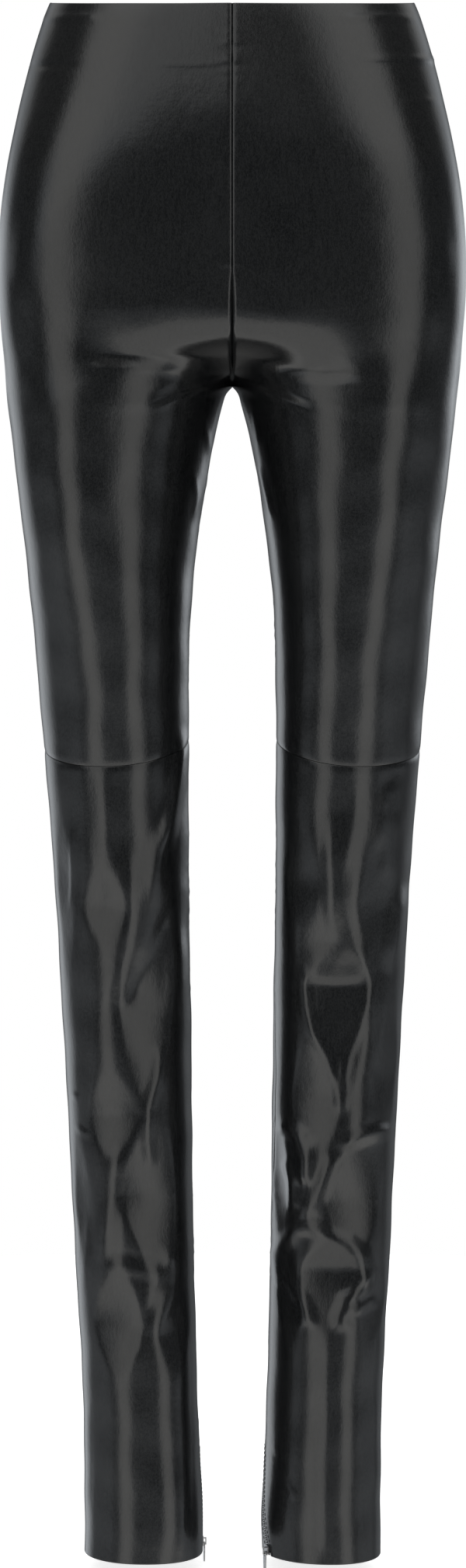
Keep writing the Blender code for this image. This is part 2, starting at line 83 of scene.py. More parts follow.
# Rows of the leg: height, outer edge, front, back, squareness in front, and how far the outer side stands
# forward of the inner side on the left leg and on the right leg
LEG_ROWS = [
    (-0.160, 0.1632, -0.1040, 0.1120, 2.30, 0.0200, 0.0200),
    (-0.223, 0.1624, -0.1000, 0.1080, 2.28, 0.0199, 0.0199),
    (-0.270, 0.1586, -0.0965, 0.1000, 2.26, 0.0192, 0.0192),
    (-0.322, 0.1528, -0.0920, 0.0880, 2.28, 0.0110, 0.0165),
    (-0.377, 0.1462, -0.0860, 0.0780, 2.30, 0.0035, 0.0108),
    (-0.432, 0.1410, -0.0790, 0.0690, 2.20, -0.0034, 0.0010),
    (-0.487, 0.1361, -0.0710, 0.0600, 2.06, -0.0046, -0.0018),
    (-0.541, 0.1317, -0.0635, 0.0540, 2.06, -0.0048, -0.0014),
    (-0.596, 0.1273, -0.0580, 0.0550, 2.10, -0.0036, -0.0008),
    (-0.651, 0.1240, -0.0530, 0.0600, 2.15, -0.0020, 0.0000),
    (-0.706, 0.1211, -0.0490, 0.0650, 2.15, 0.0000, 0.0000),
    (-0.761, 0.1182, -0.0460, 0.0670, 2.15, 0.0010, -0.0005),
    (-0.816, 0.1153, -0.0435, 0.0655, 2.15, 0.0025, -0.0010),
    (-0.871, 0.1127, -0.0411, 0.0627, 2.15, 0.0045, -0.0018),
    (-0.925, 0.1097, -0.0387, 0.0612, 2.15, 0.0062, -0.0025),
    (-0.980, 0.1068, -0.0362, 0.0608, 2.15, 0.0066, -0.0026),
    (-1.035, 0.1056, -0.0338, 0.0612, 2.15, 0.0066, -0.0026),
    (-1.100, 0.1057, -0.0310, 0.0620, 2.15, 0.0066, -0.0026),
]
# Rows of the leg's inner edge: height, distance from the middle
INSEAM_ROWS = [
    (-0.270, 0.0000),
    (-0.273, 0.0028),
    (-0.280, 0.0058),
    (-0.295, 0.0098),
    (-0.322, 0.0156),
    (-0.350, 0.0201),
    (-0.404, 0.0272),
    (-0.459, 0.0302),
    (-0.541, 0.0307),
    (-0.624, 0.0304),
    (-0.706, 0.0293),
    (-0.816, 0.0280),
    (-0.898, 0.0269),
    (-0.980, 0.0247),
    (-1.035, 0.0228),
    (-1.076, 0.0208),
    (-1.100, 0.0213),
]
# Rows of the inseam's turn towards the front: height, degrees on the left leg, degrees on the right leg
INSEAM_TURN_ROWS = [
    (-0.300, 0.0, 0.0),
    (-0.640, 0.0, 0.0),
    (-0.706, 10.0, 0.0),
    (-0.770, 24.0, 2.0),
    (-0.830, 14.0, 4.0),
    (-0.900, 5.0, 2.0),
    (-0.980, 2.0, 0.0),
    (-1.035, 6.0, -4.0),
    (-1.100, 33.0, -20.0),
]

# Flattened places of a leg, seen from in front: bearing and height of its top, its deepest point and
# its foot, its depth, and how blunt the fold across its deepest line is. A bearing is in degrees, 0 in
# front, positive to the viewer's right.
FLATS = {
    "right": [
        (-13, -0.606, -12, -0.636, -8, -0.664, 0.0029, 0.35),
        (34, -0.640, 18, -0.702, 12, -0.768, 0.0044, 0.35),
        (-12, -0.750, -11, -0.780, -14, -0.810, 0.0042, 0.35),
        (20, -0.784, 14, -0.838, 22, -0.892, 0.0052, 0.35),
        (-48, -0.800, -46, -0.850, -44, -0.890, 0.0026, 0.35),
        (-14, -0.890, -17, -0.928, -16, -0.966, 0.0050, 0.35),
        (40, -0.912, 34, -0.938, 30, -0.966, 0.0024, 0.35),
        (-52, -0.575, -50, -0.620, -48, -0.680, 0.0022, 0.35),
        (170, -0.540, 176, -0.585, 182, -0.640, 0.0036, 0.35),
        (-150, -0.660, -146, -0.705, -150, -0.760, 0.0032, 0.35),
        (160, -0.740, 156, -0.790, 160, -0.836, 0.0040, 0.35),
        (-158, -0.830, -162, -0.868, -158, -0.912, 0.0038, 0.35),
        (152, -0.890, 148, -0.926, 154, -0.966, 0.0040, 0.35),
        (100, -0.770, 98, -0.815, 102, -0.862, 0.0026, 0.35),
        (-104, -0.700, -100, -0.742, -98, -0.790, 0.0024, 0.35),
    ],
    "left": [
        (26, -0.580, 27, -0.632, 32, -0.690, 0.0030, 0.35),
        (-34, -0.576, -34, -0.616, -32, -0.650, 0.0026, 0.35),
        (0, -0.662, -2, -0.690, 5, -0.766, 0.0052, 0.05),
        (-22, -0.630, -17, -0.660, -22, -0.692, 0.0028, 0.35),
        (-17, -0.722, -15, -0.766, -15, -0.812, 0.0042, 0.35),
        (26, -0.786, 15, -0.842, 18, -0.884, 0.0050, 0.35),
        (48, -0.700, 44, -0.750, 46, -0.792, 0.0026, 0.35),
        (-58, -0.792, -60, -0.824, -50, -0.868, 0.0034, 0.35),
        (-2, -0.872, -3, -0.890, -3, -0.934, 0.0054, 0.35),
        (-44, -0.880, -42, -0.912, -34, -0.944, 0.0026, 0.35),
        (44, -0.888, 42, -0.914, 36, -0.944, 0.0026, 0.35),
        (-174, -0.550, -178, -0.600, -184, -0.650, 0.0036, 0.35),
        (150, -0.640, 146, -0.690, 152, -0.744, 0.0034, 0.35),
        (-160, -0.720, -156, -0.768, -160, -0.816, 0.0040, 0.35),
        (164, -0.806, 166, -0.850, 160, -0.892, 0.0038, 0.35),
        (-150, -0.878, -152, -0.914, -156, -0.958, 0.0040, 0.35),
        (98, -0.800, 102, -0.846, 98, -0.890, 0.0024, 0.35),
    ],
}
FOLD_RADIUS = 0.050
FOLD_SOFTNESS = 0.0006
# Step over which a slope is measured, as a share of the ring and in metres down
STEP = 1e-4

# Zip in the foot of the inseam
ZIP_TOP = -1.030
ZIP_END = 0.001
ZIP_WINDOW = HALF_GAP + 0.0015
ZIP_FOOT = HEM + 0.0012
TAPE_HALF_WIDTH = 0.0070
TAPE_DEPTH = WALL + SEAM_GAP
TAPE_THICKNESS = 0.0006
TAPE_ROWS = 61
TAPE_COLUMNS = 17

# Finish of the leather. A wave has a length, given as metres for each radian, and a start in radians.
EDGE_ROUND = 0.0006
EDGE_STEPS = (0.0, 0.00012, 0.0003, 0.0006, 0.0010, 0.0016, 0.0024)
SEAM_SINK = 0.00035
SEAM_REACH = 0.0022
GROOVE_DEPTH = 0.0004
GROOVE_REACH = 0.0008
CROTCH_GROOVE_DEPTH = 0.0016
CROTCH_GROOVE_REACH = 0.0018
CROTCH_GROOVE_TOP = -0.190
CROTCH_GROOVE_FADE = 0.03
CLOSING = 0.004
WAIST_LEAN = 0.0008
WAIST_BAND = 0.013
PUCKER_STARTS = {"front": 0.3, "back": 0.9}
PUCKER_HEIGHT = 0.00006
PUCKER_REACH = 0.012
PUCKER_FREE = 0.002
PUCKER_WAVES = ((0.00171, 0), (0.00117, 1.3), (0.0029, 0.4))
PATCH_WAVES = ((0.0131, 0), (0.0217, 2))
UNEVENNESS = 0.00012
UNEVEN_STARTS = {"left": 0.0, "right": 1.7}
# Waves of the unevenness: lengths across, from front to back and upward, start, share of the leg's own start
UNEVEN_WAVES = (
    (0.0093, math.inf, 0.0121, 0, 1),
    (-0.0151, math.inf, 0.0067, 0, 2.1),
    (math.inf, 0.0107, 0.0158, 0.6, 1),
)
CALM_SHARE = 0.75
CALM_FOOT = -0.26
CALM_RISE = 0.12
SHARP_ANGLE = 50

# Creases
MILLIMETRE = 0.001
TENT_SOFTNESS = 0.02
SIDE_FADE = 0.010
CREASE_MARGIN = 2.5

# Panels: columns and rows of the grid between its edges
COARSER = 4
GRID = {
    ("front", "upper"): (112, 272),
    ("front", "lower"): (88, 320),
    ("back", "upper"): (96, 232),
    ("back", "lower"): (72, 264),
}

# Chain and stitches of the zip: places and sizes
TOOTH_PITCH = 0.0016
TOOTH_ASIDE = 0.00035
TOOTH_OUT = -0.0006
TOOTH_SIZE = (0.0007, 0.0014, 0.0014)
CHAIN_DROP = 0.0012
CHAIN_RISE = 0.001
CHAIN_POINTS = 60
STITCH_ASIDE = 0.0048
STITCH_OVER = 0.0045
STITCH_OUT = 0.00012
STITCH_PITCH = 0.0031
STITCH_SIZE = (0.0026, 0.0005, 0.0004)
STITCH_RISE = 0.002
STITCH_POINTS = 50
STITCH_TURN_POINTS = 9
NORMAL_PROBE = 0.001

# Stage
FLOOR_RADIUS = 1.4
FLOOR_LEVEL = -1.1125

# Degrees in a radian, and strengths of the lights
DEGREES = 180 / math.pi
BASE = 0.08
STRIP = 1.06
FLOOR_GLOW = 0.27
FLOOR_GLOW_BEHIND = 0.3
LOW_FILL = 0.80
HIGH_FILL = 0.9
HIGH_FILL_LEAN = 0.4
SPARED_BY_STRIP = 0.8
OVERHEAD = 0.5
FLANK = 0.02
FLANK_LOW = 0.26
BESIDE = 0.7
REAR_DIMMED = 0.6
REAR_LEFT = 1.1
REAR_RIGHT = 0.15
REAR_RIGHT_UP = 1.2
STRIP_SPREADS_ABOVE = 18
STRIP_SPREAD = 0.7
WARM_HIGH = 0.7
COOL_LIGHT = (0.94, 0.99, 1.04, 1)
WARM_LIGHT = (1.0, 0.995, 0.97, 1)
# Edges of the lights: the degrees between which each rises or falls. INNER and OUTER are bearings away from
# the camera's side, FOOT and TOP are heights above level, and DEPTH is below it.
STRIP_INNER = (18, 28)
STRIP_OUTER = (44, 55)
STRIP_FOOT = (-42, -31)
STRIP_TOP = (46, 58)
AHEAD_END = (75, 115)
FLOOR_GLOW_DEPTH = (11, 18)
LOW_FILL_DEPTH = (24, 30)
HIGH_LEFT_FOOT = (17, 24)
HIGH_LEFT_INNER = (-2, 2)
HIGH_RIGHT_FOOT = (13, 22)
HIGH_RIGHT_INNER = (10, 24)
HIGH_OUTER = (50, 66)
OVERHEAD_FOOT = (44, 56)
BESIDE_INNER = (88, 112)
BESIDE_FOOT = (0, 2)
BESIDE_TOP = (4, 7)
FLANK_DEPTH = (7, 11)
FLANK_INNER = (58, 72)
FLANK_OUTER = (108, 128)
REAR_INNER = (114, 138)
REAR_OUTER = (148, 170)
REAR_FOOT = (-21, -14)
REAR_DIMMING = (4, 14)
REAR_TOP = (35, 65)
REAR_RIGHT_STEP = (-6, 0)
MIDDLE = (0, 1)
WARM_DEPTH = (22, 30)
WARM_HEIGHT = (14, 24)

# The photograph's frame
CAMERA_AWAY = 3.1
CAMERA_HEIGHT = -0.38
CAMERA_AIM = -0.4650
CAMERA_ASIDE = 0.00055
CAMERA_LENS = 100.7
CAMERA_SHIFT = -0.0777
SENSOR = 36
PIXEL = 0.5486e-3
MIDDLE_COLUMN = 299
WAIST_ROW = 3

# Creases as a picture frame shows them from in front. Each row: height in mm (a groove is negative), reach
# to the walker's right and left, crispness, length of the fading ends, then the line walked. Reaches, ends
# and lines are in the photograph's pixels.
CENTRE_RISE = (0.8, 60, 60, 0.05, 60, [(299, -60), (299, 60), (299, 190)])
FRONT_CREASES = {
    "right": [
        CENTRE_RISE,
        (-3.2, 13, 55, 0.14, 56, [(96, 454), (150, 457), (200, 459), (250, 461), (299, 461), (390, 461)]),
        (-1.2, 12, 6, 0.25, 26, [(289, 489), (250, 499), (220, 508), (188, 521)]),
        (0.8, 4, 5, 0.20, 20, [(261, 538), (271, 580), (265, 642)]),
        (0.7, 4, 5, 0.20, 20, [(247, 602), (254, 640), (247, 672)]),
        (0.5, 5, 5, 0.30, 20, [(50, 24), (100, 22), (134, 22)]),
        (-0.7, 5, 5, 0.30, 24, [(34, 85), (70, 84), (106, 82)]),
        (0.15, 3, 3, 0.30, 20, [(198, 82), (245, 83), (292, 81)]),
        (0.5, 12, 12, 0.20, 30, [(130, 980), (134, 1040), (137, 1085), (139, 1114)]),
        (2.0, 34, 20, 0.12, 76, [(160, 1076), (166, 1134), (165, 1165), (159, 1200), (154, 1235), (153, 1264),
                                 (157, 1290), (164, 1324)]),
        (-3.0, 30, 40, 0.18, 60, [(230, 1140), (218, 1190), (202, 1230), (184, 1264), (168, 1298),
                                  (160, 1330)]),
        (1.2, 14, 12, 0.20, 50, [(232, 1150), (233, 1220), (231, 1310)]),
        (2.4, 10, 12, 0.20, 46, [(240, 930), (231, 985), (223, 1030), (215, 1070), (208, 1100)]),
        (1.3, 14, 14, 0.25, 60, [(220, 1030), (213, 1068), (204, 1100), (198, 1130), (190, 1176)]),
        (0.4, 4, 5, 0.20, 30, [(94, 1058), (91, 1110), (88, 1176)]),
        (0.8, 11, 11, 0.30, 30, [(156, 1470), (148, 1505), (142, 1547), (134, 1592), (132, 1614),
                                 (142, 1629)]),
        (0.8, 11, 12, 0.35, 22, [(134, 1626), (152, 1631), (171, 1634), (200, 1639), (219, 1654)]),
        (0.8, 11, 11, 0.35, 24, [(219, 1600), (224, 1640), (222, 1662), (210, 1684), (198, 1704),
                                 (190, 1728)]),
        (0.9, 9, 9, 0.20, 26, [(208, 1340), (203, 1388), (190, 1430), (191, 1470), (196, 1510)]),
        (-0.5, 11, 11, 0.45, 24, [(152, 1500), (146, 1550), (141, 1596), (144, 1618), (170, 1626),
                                  (198, 1627), (214, 1639), (217, 1656), (206, 1677), (192, 1699),
                                  (176, 1728), (166, 1758)]),
        (2.2, 34, 12, 0.20, 60, [(229, 1690), (232, 1800), (234, 1900), (233, 2030)]),
        (0.5, 4, 4, 0.25, 10, [(86, 1404), (96, 1411), (104, 1418)]),
        (0.5, 4, 4, 0.25, 10, [(94, 1449), (104, 1457), (115, 1465)]),
        (0.25, 9, 9, 0.40, 30, [(108, 1422), (146, 1431), (184, 1431)]),
        (0.5, 6, 6, 0.30, 40, [(108, 1560), (111, 1620), (108, 1670)]),
        (0.4, 5, 5, 0.25, 40, [(111, 1800), (112, 1880), (110, 1960)]),
    ],
    "left": [
        CENTRE_RISE,
        (-3.2, 13, 55, 0.14, 56, [(208, 461), (299, 461), (340, 466), (380, 474), (420, 478), (476, 475)]),
        (-1.0, 6, 9, 0.25, 24, [(306, 478), (340, 497), (375, 516), (404, 530)]),
        (0.5, 4, 4, 0.25, 14, [(318, 515), (342, 527), (360, 537)]),
        (0.6, 4, 4, 0.20, 16, [(325, 520), (330, 548), (334, 576)]),
        (0.8, 5, 5, 0.20, 20, [(331, 592), (342, 632), (352, 672)]),
        (0.5, 5, 5, 0.30, 20, [(436, 24), (490, 22), (542, 24)]),
        (0.7, 5, 5, 0.30, 24, [(458, 75), (515, 75), (572, 77)]),
        (0.5, 5, 5, 0.30, 16, [(518, 131), (568, 129)]),
        (1.8, 12, 46, 0.20, 70, [(430, 1040), (428, 1100), (428, 1150), (434, 1222)]),
        (0.3, 8, 8, 0.30, 40, [(460, 1000), (457, 1041), (451, 1077), (440, 1119), (436, 1146), (441, 1174),
                               (452, 1206), (466, 1235), (475, 1268)]),
        (0.8, 8, 8, 0.20, 24, [(475, 1255), (473, 1290), (462, 1328), (448, 1360), (442, 1389), (441, 1440)]),
        (0.8, 8, 8, 0.20, 24, [(391, 1236), (392, 1297), (402, 1328), (421, 1360), (433, 1396), (438, 1442)]),
        (0.6, 5, 16, 0.20, 16, [(393, 1256), (433, 1262), (473, 1257)]),
        (1.6, 12, 12, 0.25, 40, [(522, 1130), (513, 1180), (501, 1256)]),
        (0.7, 10, 10, 0.30, 30, [(514, 992), (500, 1048), (484, 1100)]),
        (0.5, 7, 7, 0.30, 20, [(505, 1002), (490, 1048)]),
        (0.6, 9, 9, 0.30, 26, [(513, 1040), (503, 1090), (496, 1138)]),
        (1.3, 12, 9, 0.25, 24, [(430, 1478), (470, 1463), (512, 1451)]),
        (1.8, 12, 10, 0.25, 16, [(352, 1444), (372, 1453), (385, 1464), (392, 1492), (390, 1530)]),
        (1.3, 10, 12, 0.25, 20, [(434, 1482), (414, 1528), (394, 1573)]),
        (1.1, 10, 10, 0.25, 20, [(400, 1462), (397, 1520), (392, 1560), (389, 1584)]),
        (1.5, 12, 12, 0.25, 18, [(384, 1574), (421, 1593), (450, 1602), (467, 1619), (474, 1640),
                                 (468, 1664)]),
        (1.5, 11, 11, 0.25, 18, [(394, 1572), (372, 1596), (353, 1616), (358, 1640), (374, 1658),
                                 (392, 1688), (400, 1716)]),
        (1.3, 11, 11, 0.25, 18, [(474, 1634), (469, 1662), (447, 1676), (438, 1700), (442, 1722)]),
        (0.9, 8, 8, 0.25, 14, [(444, 1694), (466, 1686), (492, 1674)]),
        (0.9, 12, 36, 0.20, 50, [(425, 1700), (424, 1800), (423, 1900), (422, 2030)]),
        (0.6, 6, 6, 0.25, 40, [(485, 1790), (486, 1860), (488, 1940)]),
        (1.2, 9, 9, 0.25, 14, [(362, 1490), (374, 1520), (380, 1564)]),
        (0.3, 5, 5, 0.40, 10, [(352, 1860), (364, 1886)]),
        (0.3, 5, 5, 0.40, 14, [(358, 1898), (384, 1940)]),
    ],
}
# Creases as a picture frame of the same size shows them from behind.
BACK_CREASES = {
    "left": [
        (-1.6, 12, 10, 0.30, 40, [(52, 486), (110, 512), (180, 512), (262, 476)]),
        (-0.8, 9, 8, 0.30, 30, [(150, 548), (205, 540), (258, 516)]),
        (-1.3, 12, 10, 0.25, 30, [(84, 906), (130, 926), (186, 924), (232, 900)]),
        (-1.8, 12, 12, 0.25, 30, [(80, 962), (140, 990), (190, 985), (238, 958)]),
        (-1.2, 10, 12, 0.25, 26, [(92, 1032), (150, 1044), (222, 1022)]),
        (-0.9, 10, 10, 0.25, 30, [(104, 1086), (170, 1112), (214, 1150)]),
        (0.8, 9, 9, 0.20, 40, [(216, 1010), (196, 1090), (186, 1180), (192, 1250)]),
        (0.7, 9, 9, 0.20, 40, [(112, 1100), (128, 1180), (124, 1270)]),
        (-1.2, 11, 9, 0.25, 26, [(100, 1392), (150, 1424), (208, 1404)]),
        (0.8, 8, 8, 0.20, 30, [(148, 1300), (160, 1380), (152, 1460), (160, 1530)]),
        (-1.4, 10, 9, 0.25, 24, [(112, 1560), (160, 1594), (226, 1572)]),
        (0.8, 8, 8, 0.20, 24, [(140, 1600), (168, 1650), (196, 1676), (204, 1730)]),
        (-1.1, 9, 9, 0.25, 22, [(118, 1690), (160, 1716), (212, 1700)]),
        (0.6, 7, 7, 0.20, 30, [(150, 1740), (158, 1820), (154, 1900)]),
        (-0.7, 8, 8, 0.25, 20, [(178, 1806), (214, 1822), (240, 1812)]),
    ],
    "right": [
        (-1.5, 11, 11, 0.30, 40, [(336, 478), (412, 514), (486, 508), (548, 484)]),
        (-0.8, 8, 9, 0.30, 30, [(342, 520), (396, 546), (440, 548)]),
        (-1.4, 12, 10, 0.25, 30, [(362, 896), (420, 922), (476, 918), (518, 900)]),
        (-1.7, 12, 12, 0.25, 30, [(360, 950), (408, 980), (462, 986), (520, 964)]),
        (-1.3, 10, 12, 0.25, 26, [(372, 1016), (440, 1042), (508, 1036)]),
        (-0.8, 10, 10, 0.25, 30, [(380, 1130), (424, 1098), (490, 1086)]),
        (0.8, 9, 9, 0.20, 40, [(386, 1020), (406, 1100), (412, 1190), (404, 1262)]),
        (0.7, 9, 9, 0.20, 40, [(486, 1096), (470, 1180), (476, 1250)]),
        (-1.2, 11, 9, 0.25, 26, [(388, 1366), (440, 1396), (498, 1380)]),
        (0.8, 8, 8, 0.20, 30, [(446, 1290), (434, 1370), (444, 1450), (436, 1512)]),
        (-1.3, 10, 9, 0.25, 24, [(370, 1546), (430, 1576), (486, 1560)]),
        (0.8, 8, 8, 0.20, 24, [(462, 1588), (434, 1640), (404, 1668), (396, 1722)]),
        (-1.1, 9, 9, 0.25, 22, [(384, 1676), (436, 1704), (480, 1690)]),
        (0.6, 7, 7, 0.20, 30, [(446, 1740), (438, 1826), (444, 1906)]),
        (-0.7, 8, 8, 0.25, 20, [(354, 1790), (380, 1806), (414, 1800)]),
    ],
}


def read(rows, column, height):
    """One column of a table at the given heights, on a natural cubic curve through its rows."""
    ordered = sorted(rows)
    at = np.array([row[0] for row in ordered])
    value = np.array([row[column] for row in ordered])
    gap = np.diff(at)
    slope = np.diff(value) / gap
    count = len(at)
    system = np.eye(count)
    bend = np.zeros(count)
    for i in range(1, count - 1):
        system[i, i - 1 : i + 2] = gap[i - 1], 2 * (gap[i - 1] + gap[i]), gap[i]
        bend[i] = 6 * (slope[i] - slope[i - 1])
    curve = np.linalg.solve(system, bend)
    height = np.clip(height, at[0], at[-1])
    i = np.clip(np.searchsorted(at, height) - 1, 0, count - 2)
    low = (at[i + 1] - height) / gap[i]
    high = 1 - low
    lift = (low**3 - low) * curve[i] + (high**3 - high) * curve[i + 1]
    return low * value[i] + high * value[i + 1] + lift * gap[i] ** 2 / 6


def ease(share):
    """0 below 0, 1 above 1, and a smooth step between."""
    share = np.clip(share, 0, 1)
    return share * share * (3 - 2 * share)


def oval(angle, inner, outer, front, back, square):
    """Point of an oval round its own middle; the angle is 0 at the outer side and -90 degrees in front."""
    across = np.where(np.cos(angle) > 0, outer, inner)
    deep = np.where(np.sin(angle) > 0, back, front)
    shape = np.abs(np.cos(angle) / across) ** square + np.abs(np.sin(angle) / deep) ** square
    reach = shape ** (-1 / square)
    return reach * np.cos(angle), reach * np.sin(angle)


def knee_line(angle):
    """How far the knee seam lies below its mean height at an angle round the leg."""
    sag = np.clip(-np.sin(angle), 0, 1) ** KNEE_SAG_POWER
    return -KNEE_TILT * np.cos(angle) - KNEE_SAG * sag


def inseam_turn(leg, level):
    """How far the inseam is turned towards the front, as an angle round the leg."""
    column = 1 if leg == "left" else 2
    return np.radians(read(INSEAM_TURN_ROWS, column, np.minimum(level, CROTCH_LEVEL)))


def form(leg, around, level):
    """Smooth form of one half, at +X: arrays x, y, z."""
    turn = inseam_turn(leg, level)
    in_front = around < 0.5
    to_front = (turn - math.pi) * (1 - 2 * around)
    to_back = (turn + math.pi) * (2 * around - 1)
    round_leg = np.where(in_front, to_front, to_back)
    round_hip = math.pi * (around - 0.5)
    nearness = 1 - ease(np.abs(level - KNEE) / KNEE_REACH)
    level = level + knee_line(round_leg) * nearness
    split = np.clip((SPLIT_LEVEL - level) / (SPLIT_LEVEL - CROTCH_LEVEL), 0, 1)
    above = SPLIT_LEVEL + (CROTCH - SPLIT_LEVEL) * (1 - (1 - split) ** CROTCH_ROUNDING)
    past = np.clip((CROTCH_LEVEL - level) / CROTCH_FADE, 0, 1)
    start = CROTCH_FADE / (CROTCH - CROTCH_LEVEL)
    below = level + (CROTCH - CROTCH_LEVEL) * (1 - past) ** 2 * (1 + (2 + start) * past)
    edge = np.where(level > SPLIT_LEVEL, level, np.where(level > CROTCH_LEVEL, above, below))
    near_centre = np.cos(math.pi * around) ** 2
    height = level + (edge - level) * near_centre

    width = read(HIP_ROWS, 1, height)
    front = read(HIP_ROWS, 2, height)
    back = read(HIP_ROWS, 3, height)
    square = np.where(in_front, read(HIP_ROWS, 4, height), read(HIP_ROWS, 5, height))
    middle = HIP_MIDDLE_SHARE * (front + back)
    hip_x, hip_y = oval(round_hip, width, width, middle - front, back - middle, square)
    hip_y = hip_y + middle

    inner = np.where(edge >= CROTCH, 0, read(INSEAM_ROWS, 1, edge))
    outer = read(LEG_ROWS, 1, height)
    front = read(LEG_ROWS, 2, height)
    back = read(LEG_ROWS, 3, height)
    centre = 0.5 * (inner + outer)
    half = 0.5 * (outer - inner)
    middle = 0.5 * (front + back)
    square = np.where(np.sin(round_leg) < 0, read(LEG_ROWS, 4, height), LEG_SQUARE)
    leg_x, leg_y = oval(round_leg, half, half, middle - front, back - middle, square)
    skew = read(LEG_ROWS, 5 if leg == "left" else 6, height)
    leg_x = leg_x + centre
    leg_y = leg_y + middle - skew * np.cos(round_leg)

    gone = split ** (LEG_ONSET_SIDE + (LEG_ONSET_CENTRE - LEG_ONSET_SIDE) * near_centre)
    share = gone**3 * (10 - 15 * gone + 6 * gone**2)
    x = hip_x + (leg_x - hip_x) * share
    y = hip_y + (leg_y - hip_y) * share
    dip = 1 - ease(-level / WAIST_DIP_REACH)
    slope = np.where(y < 0, WAIST_DIP_SLOPE, WAIST_RISE_SLOPE)
    return x, y, height + slope * y * dip


def leg_middle(level):
    """Middle of a leg between its front and its back."""
    return 0.5 * (read(LEG_ROWS, 2, level) + read(LEG_ROWS, 3, level))


def bearing(leg, x, y, z):
    """Bearing of a point round its leg in degrees: 0 in front, positive to the viewer's right."""
    level = np.minimum(z, CROTCH_LEVEL)
    middle_x = 0.5 * (read(LEG_ROWS, 1, level) + read(INSEAM_ROWS, 1, level))
    return SIDE[leg] * np.degrees(np.arctan2(x - middle_x, leg_middle(level) - y))


def relief(leg, x, y, z):
    """How far the folds move the leather outward."""
    around = bearing(leg, x, y, z)
    moved = np.zeros_like(z)
    for top_turn, top, deep_turn, deep, foot_turn, foot, depth, blunt in FLATS[leg]:
        upper = (top - z) / (top - deep)
        lower = (z - foot) / (deep - foot)
        turn = np.where(z > deep, top_turn + (deep_turn - top_turn) * upper,
                        foot_turn + (deep_turn - foot_turn) * lower)
        turn = np.clip(turn, min(top_turn, deep_turn, foot_turn), max(top_turn, deep_turn, foot_turn))
        off = FOLD_RADIUS * np.radians((around - turn + 180) % 360 - 180)
        lesser = 0.5 * (upper + lower - np.sqrt((upper - lower) ** 2 + blunt**2))
        sunk = depth * lesser - off**2 / (2 * FOLD_RADIUS)
        moved -= 0.5 * (sunk + np.sqrt(sunk**2 + FOLD_SOFTNESS**2))
    return moved


def cross(a, b):
    return (a[1] * b[2] - a[2] * b[1], a[2] * b[0] - a[0] * b[2], a[0] * b[1] - a[1] * b[0])


def outward(surface, around, level):
    """Unit normals of a surface, pointing out of the garment."""
    side = np.where(around < 0.5, 1, -1)
    here = surface(around, level)
    beside = surface(around + side * STEP, level)
    below = surface(around, level - STEP)
    along = [side * (b - h) for b, h in zip(beside, here)]
    down = [b - h for b, h in zip(below, here)]
    normal = cross(down, along)
    length = np.sqrt(sum(n**2 for n in normal))
    return [n / length for n in normal]


def in_frame(x, y, z, behind=False):
    """Column and row at which a point is seen in the photograph's frame, or in one like it from behind."""
    away, across = (-y, -x) if behind else (y, x)
    nearer = CAMERA_AWAY / (CAMERA_AWAY + away)
    column = MIDDLE_COLUMN + across * nearer / PIXEL
    return column, WAIST_ROW - (CAMERA_HEIGHT + (z - CAMERA_HEIGHT) * nearer) / PIXEL


def crease(column, row, line, height, right, left, crisp, fade):
    """A ridge or groove along a line of the frame, in metres outward."""
    nearest = np.full(column.shape, np.inf)
    side = np.ones(column.shape)
    along = np.zeros(column.shape)
    walked = 0.0
    for (x0, y0), (x1, y1) in zip(line, line[1:]):
        length = math.hypot(x1 - x0, y1 - y0)
        over, down = (x1 - x0) / length, (y1 - y0) / length
        ahead = np.clip((column - x0) * over + (row - y0) * down, 0, length)
        off_x, off_y = column - x0 - ahead * over, row - y0 - ahead * down
        distance = np.hypot(off_x, off_y)
        closer = distance < nearest
        nearest = np.where(closer, distance, nearest)
        side = np.where(closer, over * off_y - down * off_x, side)
        along = np.where(closer, walked + ahead, along)
        walked += length
    reach = np.where(side > 0, right, left)
    tent = 1 + crisp - np.sqrt((nearest / reach) ** 2 + crisp**2)
    tent = 0.5 * (tent + np.sqrt(tent**2 + TENT_SOFTNESS))
    ends = ease(along / fade) * ease((walked - along) / fade)
    return MILLIMETRE * height * tent * ends


def creases(leg, x, y, z):
    """All the creases of a leg, those in front and those behind fading out towards its sides."""
    middle_y = leg_middle(np.minimum(z, CROTCH_LEVEL))
    raised = np.zeros(x.shape)
    for table, behind in ((FRONT_CREASES, False), (BACK_CREASES, True)):
        column, row = in_frame(SIDE[leg] * x, y, z, behind)
        nearer = y - middle_y + SIDE_FADE if behind else middle_y + SIDE_FADE - y
        facing = ease(nearer / (2 * SIDE_FADE))
        for height, right, left, crisp, fade, line in table[leg]:
            columns = [point[0] for point in line]
            rows = [point[1] for point in line]
            margin = CREASE_MARGIN * max(right, left)
            near = (column > min(columns) - margin) & (column < max(columns) + margin) & (facing > 0)
            near &= (row > min(rows) - margin) & (row < max(rows) + margin)
            if near.any():
                push = crease(column[near], row[near], line, height, right, left, crisp, fade)
                raised[near] += push * facing[near]
    return raised


def undulation(leg, x, y, z):
    """Slow unevenness of filled-out leather, less of it over the hips."""
    calm = 1 - CALM_SHARE * ease((z - CALM_FOOT) / CALM_RISE)
    return UNEVENNESS * calm * sum(
        np.sin(x / across + y / deep + z / up + start + share * UNEVEN_STARTS[leg])
        for across, deep, up, start, share in UNEVEN_WAVES
    )


def waist_push(level):
    """The turned waist edge leans inward."""
    return -WAIST_LEAN * np.clip(1 + level / WAIST_BAND, 0, 1) ** 2


